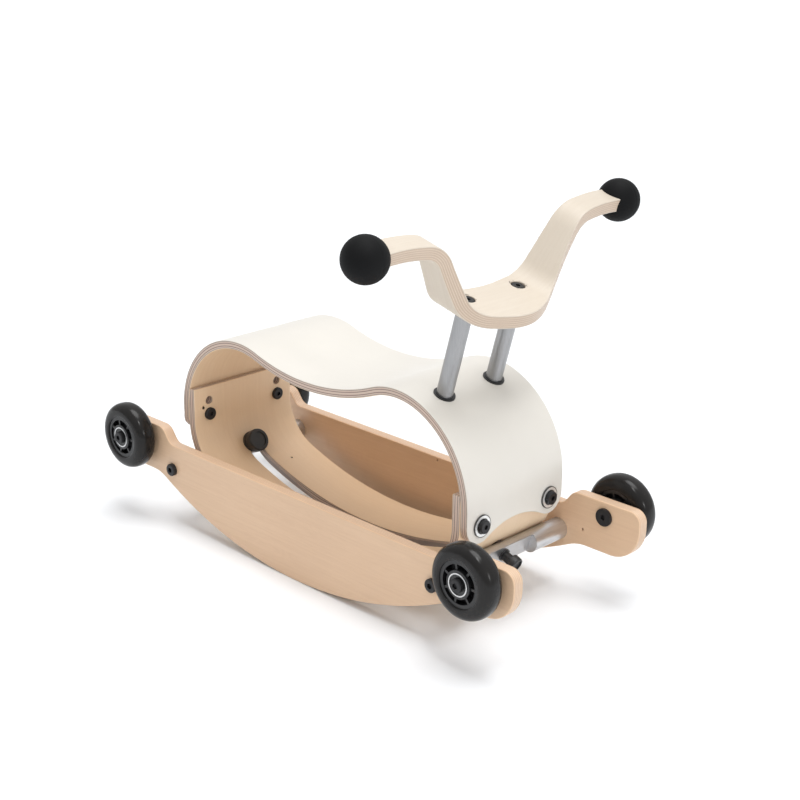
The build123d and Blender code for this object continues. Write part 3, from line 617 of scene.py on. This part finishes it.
def make_rails():
    outline = rail_outline()
    for side, sign in SIDES.items():
        low, high = sorted((sign * RAIL_INNER_Y, sign * RAIL_OUTER_Y))
        rail = prism(f"{side}_rail_board", outline, low, high)
        through = (0, sign, 0), RAIL_INNER_Y - 1, RAIL_OUTER_Y + 1
        holes = []
        for end in (-1, 1):
            holes.append(((end * CROSSBAR.x, 0, CROSSBAR.z), *through, CROSSBAR_HOLE_R))
            holes.append(((end * AXLE.x, 0, AXLE_Z), *through, AXLE_HOLE_R))
        for x, z in RAIL_PINS:
            holes.append(((x, 0, z), (0, sign, 0), RAIL_INNER_Y - 1, RAIL_INNER_Y + PIN_DEPTH, PIN_R))
        drill(rail, holes)
        soften(rail, RAIL_EDGE_R)

        def place(points, board=sign):
            x, y, z = points.T
            return np.stack([x + RAIL_GRAIN * board, z, abs(y) - RAIL_INNER_Y], axis=1)

        lay_plies(rail, place)
        stand_for(rail, f"{side}_rail", rail_wood)


# ---------------------------------------------------------------- seat and cradle
SHELL_COLUMNS = 28
SHELL_STEP = 3.0


def shell_rows(line, headings, thickness):
    """Rows of points on the two faces of a shell bent along a line of (x, z)."""
    across = np.linspace(-SHELL_HALF_W, SHELL_HALF_W, SHELL_COLUMNS + 1)
    thickness = np.broadcast_to(thickness, (len(line),))
    other = np.array(line) + right_of(headings) * thickness[:, None]
    first = [[(x, y, z) for y in across] for x, z in line]
    second = [[(x, y, z) for y in across] for x, z in other]
    return first, second


def leg_rows(x, from_z, outline, count):
    """Rows down a straight leg from a level row to an outline of (y, z)."""
    across = np.linspace(-SHELL_HALF_W, SHELL_HALF_W, SHELL_COLUMNS + 1)
    end = even(outline, SHELL_COLUMNS)
    rows = []
    for i in range(1, count + 1):
        t = i / count
        rows.append([(x, y + (ey - y) * t, from_z + (ez - from_z) * t) for y, (ey, ez) in zip(across, end)])
    return rows


def seat_line():
    points, headings = [(-SEAT_OUT_X, SEAT_BEND_Z)], [pi / 2]
    for radius, turn in SEAT_BENDS:
        bend(points, headings, radius, turn, SHELL_STEP)
    heading = headings[-1]
    last_r = (SEAT_OUT_X - points[-1][0]) / (1 + sin(heading))
    bend(points, headings, last_r, -90 - degrees(heading), SHELL_STEP)
    return points, headings


def front_leg_end():
    """The front leg's lower edge as (y, z): two round ears and a shallow arch."""
    ear_y, ear_z = SHELL_HALF_W - LOBE_R, FRONT_BOLT_Z + LOBE_RISE
    gap = ear_z - ARCH_TOP_Z
    arch_r = (ear_y ** 2 + gap ** 2 - LOBE_R ** 2) / (2 * (LOBE_R - gap))
    arch_z = ARCH_TOP_Z - arch_r
    touch = atan2(ear_z - arch_z, ear_y)
    ear = [(ear_y + LOBE_R * cos(a), ear_z + LOBE_R * sin(a)) for a in np.linspace(0, -(pi - touch), 25)]
    arch = [(arch_r * cos(a), arch_z + arch_r * sin(a)) for a in np.linspace(touch, pi - touch, 25)][1:-1]
    other = [(-y, z) for y, z in reversed(ear)]
    return list(reversed(ear + arch + other))


def rear_leg_end():
    middle_y = SHELL_HALF_W - REAR_CORNER_R
    centre_z = REAR_LEG_Z + REAR_CORNER_R
    angles = np.linspace(0, pi / 2, 9)
    corner = [(middle_y + REAR_CORNER_R * cos(a), centre_z - REAR_CORNER_R * sin(a)) for a in angles]
    return [(-y, z) for y, z in corner] + list(reversed(corner))


def post_foot(side):
    return Vector((POST_FOOT[0], side * POST_Y, POST_FOOT[1]))


POST_AXIS = Vector((sin(POST_LEAN), 0, cos(POST_LEAN)))


def make_seat():
    line, headings = seat_line()
    outer, inner = shell_rows(line, headings, PLY_SEAT)
    rear_out = leg_rows(-SEAT_OUT_X, SEAT_BEND_Z, rear_leg_end(), 8)
    rear_in = leg_rows(-CRADLE_OUT_X, SEAT_BEND_Z, rear_leg_end(), 8)
    front_out = leg_rows(SEAT_OUT_X, line[-1][1], front_leg_end(), 12)
    front_in = leg_rows(CRADLE_OUT_X, line[-1][1], front_leg_end(), 12)
    outside, inside = rear_out[::-1] + outer + front_out, rear_in[::-1] + inner + front_in
    seat = sheet_solid("seat_laminated_shell", outside, inside)
    holes = [(post_foot(side), POST_AXIS, -25, 15, POST_HOLE_R) for side in SIDES.values()]
    for y in (-SEAT_BOLT_Y, SEAT_BOLT_Y):
        holes.append(((0, y, FRONT_BOLT_Z), (1, 0, 0), CRADLE_OUT_X - PAST, SEAT_OUT_X + PAST, SHANK_HOLE_R))
        holes.append(((0, y, REAR_BOLT_Z), (-1, 0, 0), CRADLE_OUT_X - PAST, SEAT_OUT_X + PAST, BARREL_HOLE_R))
        holes.append(((0, y, SPARE_HOLE_Z), (-1, 0, 0), CRADLE_OUT_X - PAST, SEAT_OUT_X + 5, SPARE_HOLE_R))
    drill(seat, holes)
    soften(seat, SHELL_EDGE_R)
    full = [(-SEAT_OUT_X, AXLE_Z)] + line + [(SEAT_OUT_X, AXLE_Z)]

    def place(points):
        along, depth = along_line(points[:, [0, 2]], full)
        return np.stack([along, points[:, 1], depth], axis=1)

    lay_plies(seat, place)
    stand_for(seat, "seat_shell", seat_wood)


def cradle_line():
    """The cradle's inner line from its rear end round to its front end."""
    lean = degrees(asin(CORNER_X / (CRADLE_FLOOR_R - CRADLE_CORNER_R)))
    points, headings = [(-CRADLE_IN_X, CRADLE_REAR_TOP_Z)], [-pi / 2]
    run(points, headings, CRADLE_REAR_TOP_Z - CORNER_Z, SHELL_STEP)
    bend(points, headings, CRADLE_CORNER_R, 90 - lean, SHELL_STEP)
    bend(points, headings, CRADLE_FLOOR_R, 2 * lean, SHELL_STEP)
    bend(points, headings, CRADLE_CORNER_R, 90 - lean, SHELL_STEP)
    run(points, headings, CRADLE_FRONT_TOP_Z - CORNER_Z, SHELL_STEP)
    return points, headings


def upright_thickness(line):
    """The cradle's thickness at each point: its uprights thin out where the seat bends in over them."""
    outer, headings = seat_line()
    inner = np.array(outer) + right_of(headings) * PLY_SEAT
    half = len(inner) // 2
    found = []
    for x, z in line:
        room = PLY_CRADLE
        if z > SEAT_BEND_Z:
            part = inner[:half] if x < 0 else inner[half:]
            order = part[:, 1].argsort()
            part = part[order][: len(part) // 2]
            room = abs(np.interp(z, part[:, 1], part[:, 0])) - CRADLE_IN_X
        found.append(min(PLY_CRADLE, room))
    return np.array(found)


def make_cradle():
    line, headings = cradle_line()
    inner, outer = shell_rows(line, headings, upright_thickness(line))
    cradle = sheet_solid("cradle_bent_ply", inner, outer)
    slot_end, slot_top = CORNER_X + SLOT_PAST_CORNER, CROSSBAR.z + SLOT_ABOVE_BAR
    ends, sides = (-slot_end, slot_end), (-SLOT_HALF_W, SLOT_HALF_W)
    block = [(x, y, z) for x in ends for y in sides for z in (1, slot_top)]
    faces = [(0, 1, 3, 2), (4, 6, 7, 5), (0, 4, 5, 1), (2, 3, 7, 6), (0, 2, 6, 4), (1, 5, 7, 3)]
    cut(cradle, mesh_object("slot", block, faces))
    holes = []
    for end in (-1, 1):
        centre = (end * CROSSBAR.x, 0, CROSSBAR.z)
        tilt = CLAMP_TILT[end]
        holes.append((centre, (-end * cos(tilt), 0, sin(tilt)), 5, 32, SLOT_HALF_W - 0.02))
    drill(cradle, holes)
    holes = []
    for y in (-SEAT_BOLT_Y, SEAT_BOLT_Y):
        holes.append(((0, y, FRONT_BOLT_Z), (1, 0, 0), CRADLE_IN_X - 5, CRADLE_OUT_X + PAST, BARREL_HOLE_R))
        holes.append(((0, y, REAR_BOLT_Z), (-1, 0, 0), CRADLE_IN_X - 5, CRADLE_OUT_X + PAST, SHANK_HOLE_R))
        holes.append(((0, y, SPARE_HOLE_Z), (-1, 0, 0), CRADLE_IN_X - 5, CRADLE_OUT_X + PAST, SPARE_HOLE_R))
    holes.append(((0, *UPRIGHT_PIN), (-1, 0, 0), CRADLE_IN_X - PAST, CRADLE_IN_X + 4, PIN_R))
    pin_x, pin_y = CRADLE_PIN
    pin_z = CORNER_Z - sqrt(CRADLE_CORNER_R ** 2 - (abs(pin_x) - CORNER_X) ** 2)
    holes.append(((pin_x, pin_y, pin_z), (0, 0, -1), -PAST, PIN_DEPTH, PIN_R))
    drill(cradle, holes)
    soften(cradle, SHELL_EDGE_R)

    def place(points):
        along, depth = along_line(points[:, [0, 2]], line)
        return np.stack([along + CRADLE_GRAIN, points[:, 1], depth], axis=1)

    lay_plies(cradle, place)
    stand_for(cradle, "cradle", cradle_wood)


# ---------------------------------------------------------------- handlebar and grips
BAR_COLUMNS = 16
BAR_ORIGIN = Vector((POST_FOOT[0], 0, POST_FOOT[1])) + POST_AXIS * BAR_SEAT_T
BAR_ACROSS = Vector((POST_AXIS.z, 0, -POST_AXIS.x))


def bar_to_row(u, y, height):
    return BAR_ORIGIN + BAR_ACROSS * u + Vector((0, y, 0)) + POST_AXIS * height


def bar_half():
    """The handlebar's upper line from its middle to its end, as (y, height)."""
    points, headings = [(0.0, 0.0)], [0.0]
    step = 2.0
    run(points, headings, PLATEAU_HALF_W, step)
    bend(points, headings, TOP_BEND_R, BAR_RISE_DEG, step)
    run(points, headings, RISE_LENGTH, step)
    bend(points, headings, SHOULDER_R, ARM_START_DEG - BAR_RISE_DEG, step)
    bend(points, headings, ARM_CROWN_R, -ARM_START_DEG - ARM_END_DEG, step)
    return np.array(points), headings


def cut_at(line, y):
    """The line up to where its first coordinate reaches y, and its point there."""
    kept = line[line[:, 0] < y - 0.7]
    return np.vstack([kept, (y, np.interp(y, line[:, 0], line[:, 1]))])


def make_handlebar():
    upper, headings = bar_half()
    lower = upper + right_of(headings) * PLY_BAR
    rows = min(len(cut_at(upper, BAR_END_Y)), len(cut_at(lower, BAR_END_Y)))
    upper, lower = [np.vstack([part[:rows - 1], cut_at(part, BAR_END_Y)[-1]]) for part in (upper, lower)]
    front, rear = smooth_through(BAR_FRONT), smooth_through(BAR_REAR)
    grids = []
    for part in (upper, lower):
        whole = [(-y, h) for y, h in part[:0:-1]] + [(y, h) for y, h in part]
        grid = []
        for y, h in whole:
            across = np.linspace(rear(abs(y)), front(abs(y)), BAR_COLUMNS + 1)
            grid.append([bar_to_row(u, y, h) for u in across])
        grids.append(grid)
    bar = sheet_solid("handlebar_bent_ply", *grids)
    holes = []
    for side in SIDES.values():
        foot, above = post_foot(side), BAR_SEAT_T + 5
        holes.append((foot, POST_AXIS, BAR_SEAT_T - SCREW_RECESS_D, above, SCREW_RECESS_R))
        holes.append((foot, POST_AXIS, BAR_SEAT_T - PLY_BAR - 5, above, SCREW_HOLE_R))
    for hole in holes:  # one at a time, because a recess and its through hole overlap
        drill(bar, [hole])
    soften(bar, BAR_EDGE_R)
    line = [(-y, h) for y, h in upper[:0:-1]] + [(y, h) for y, h in upper]

    def place(points):
        local = points - np.array(BAR_ORIGIN)
        height, across = local @ np.array(POST_AXIS), local @ np.array(BAR_ACROSS)
        along, depth = along_line(np.stack([local[:, 1], height], axis=1), line)
        return np.stack([along + BAR_GRAIN, across, depth], axis=1)

    lay_plies(bar, place)
    stand_for(bar, "handlebar", bar_wood)


def make_grips():
    """Round hand grips with a fine parting line, each against the outer end of its CAD node."""
    for name, side in SIDES.items():
        profile = []
        for angle in np.linspace(0, pi, 61):
            radius = BALL_R * sin(angle)
            along = BALL_R * cos(angle)
            radius -= SEAM_DEPTH * np.exp(-((along / SEAM_HALF_W) ** 2))
            profile.append((max(radius, 0.0), along))
        profile[0], profile[-1] = (0.0, BALL_R), (0.0, -BALL_R)
        centre = middle(f"{name}_grip")
        low, high = limits(f"{name}_grip")
        centre.y = high.y - BALL_R if side > 0 else low.y + BALL_R
        grip = lathe(f"{name}_ball_grip", profile, centre, (0, side, 0))
        grip.data.shade_smooth()
        stand_for(grip, f"{name}_grip", grip_rubber)


# ---------------------------------------------------------------- wheels
def tyre_profile():
    """A closed loop of (radius, across): seat on the core, short flat walls, and a full, squarish crown."""
    half = WHEEL_W / 2
    base = CORE_R + TYRE_WALL
    loop = [(CORE_R, -half + 1.2), (CORE_R + 0.3, -half + 0.5), (CORE_R + 0.9, -half + 0.15), (base, -half)]
    for angle in np.linspace(0, pi / 2, 29)[1:]:
        across = half * cos(angle) ** (2 / TYRE_FULLNESS)
        loop.append((base + (WHEEL_R - base) * sin(angle) ** (2 / TYRE_FULLNESS), -across))
    return loop + [(r, -a) for r, a in reversed(loop[:-1])]


def make_tyres():
    for end in ("front", "rear"):
        for side, sign in SIDES.items():
            name = f"{end}_{side}"
            centre = middle(f"{name}_tyre")
            tyre = lathe(f"{name}_tyre_ring", tyre_profile(), centre, (0, sign, 0), 128, closed=True)
            tyre.data.shade_smooth()
            stand_for(tyre, f"{name}_tyre", tyre_rubber, f"{name}_wheel")


# ---------------------------------------------------------------- CAD nodes that stay
def finish_nodes():
    wheels = [f"{end}_{side}" for end in ("front", "rear") for side in SIDES]
    finishes = {
        post_metal_painted_shade: ["left_post", "right_post"],
        tube_metal: ["front_crossbar", "rear_crossbar"],
        cup_metal_painted_shade: ["front_seat_washers"],
        washer_metal: ["rear_seat_nuts", "front_clamp_plate", "rear_clamp_insert", "crossbar_plugs",
                       "wheel_spacers", "bearing_sleeves", "post_inserts", "grip_studs"],
        black_steel: ["front_seat_bolts", "rear_seat_bolts", "front_seat_nuts", "crossbar_bolts",
                      "axle_bolts", "axle_nuts", "handlebar_screws", "post_foot_bolts",
                      "front_clamp_stud", "rear_clamp_stud"],
        black_plastic: ["front_clamp_knob", "rear_clamp_knob", "front_clamp_washer", "rear_clamp_washer",
                        "post_grommets", "post_collars", "post_top_washers"],
        core_plastic: [f"{wheel}_core" for wheel in wheels],
        bearing_metal: [f"{wheel}_bearings" for wheel in wheels],
    }
    for finish, names in finishes.items():
        for name in names:
            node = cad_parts[name]
            node.data.materials.clear()
            node.data.materials.append(finish)


make_rails()
make_seat()
make_cradle()
make_handlebar()
make_grips()
make_tyres()
finish_nodes()


# ---------------------------------------------------------------- floor, light and camera
SKY_LEVEL, SKY_SLOPE = 0.57, (-0.02, 0.13, 0.34)  # the sky's strength, and how it grows along x, y and z


def make_floor():
    reach = 40000
    corners = [(-reach, -reach, 0), (reach, -reach, 0), (reach, reach, 0), (-reach, reach, 0)]
    floor = mesh_object("floor", corners, [(0, 1, 2, 3)])
    finish, shader = new_material("floor_paint", {"Roughness": 0.9, "Specular IOR Level": 0.2})
    net = Net(finish, shader)
    place = net.node("ShaderNodeTexCoord").outputs["Object"]
    tint = net.mix(net.noise(place, 3.0), (0.90, 0.92, 0.945), (0.92, 0.94, 0.965))
    net.feed(Base_Color=tint)
    floor.data.materials.append(finish)


def make_light():
    scene = bpy.context.scene
    scene.view_settings.view_transform = "Standard"
    world = bpy.data.worlds.new("studio")
    world.use_nodes = True
    sky = world.node_tree.nodes["Background"]
    sky.inputs["Color"].default_value = (1, 1, 1, 1)
    way = world.node_tree.nodes.new("ShaderNodeTexCoord").outputs["Generated"]
    tilt = world.node_tree.nodes.new("ShaderNodeVectorMath")
    tilt.operation = "DOT_PRODUCT"
    tilt.inputs[1].default_value = SKY_SLOPE
    world.node_tree.links.new(way, tilt.inputs[0])
    level = world.node_tree.nodes.new("ShaderNodeMath")
    level.operation = "ADD"
    level.inputs[1].default_value = SKY_LEVEL
    world.node_tree.links.new(tilt.outputs["Value"], level.inputs[0])
    world.node_tree.links.new(level.outputs[0], sky.inputs["Strength"])
    scene.world = world
    sun = bpy.data.lights.new("overhead", "SUN")
    sun.energy = 1.55
    sun.angle = radians(36)
    lamp = bpy.data.objects.new("overhead", sun)
    lamp.rotation_euler = (radians(-6), radians(2), 0)
    scene.collection.objects.link(lamp)
    panels = (("top_panel", (0.55, -0.35, 1.15), 0.11, 1.9), ("side_panel", (1.35, -0.1, 0.55), 0.11, 1.3))
    for name, place, size, energy in panels:
        panel = bpy.data.lights.new(name, "AREA")
        panel.shape = "RECTANGLE"
        panel.size, panel.size_y = size, size * 2
        panel.energy = energy
        lamp = bpy.data.objects.new(name, panel)
        lamp.location = place
        lamp.rotation_euler = (Vector(place) - Vector((0.25, -0.1, 0.1))).to_track_quat("Z", "Y").to_euler()
        scene.collection.objects.link(lamp)


def make_camera():
    """The camera stands ahead and to the right of the horse and looks a little down on it."""
    place = Vector((1040.0, -1006.9, 684.3)) * MM
    aim = Vector((53.6, 0.0, 181.6)) * MM
    roll = radians(0.67)
    lens = bpy.data.cameras.new("camera")
    lens.lens = 68.3
    lens.sensor_width = 36.0
    lens.clip_end = 100.0
    camera = bpy.data.objects.new("camera", lens)
    look = (aim - place).to_track_quat("-Z", "Y").to_matrix().to_4x4()
    camera.matrix_world = Matrix.Translation(place) @ look @ Matrix.Rotation(roll, 4, "Z")
    bpy.context.scene.collection.objects.link(camera)
    bpy.context.scene.camera = camera


make_floor()
make_light()
make_camera()
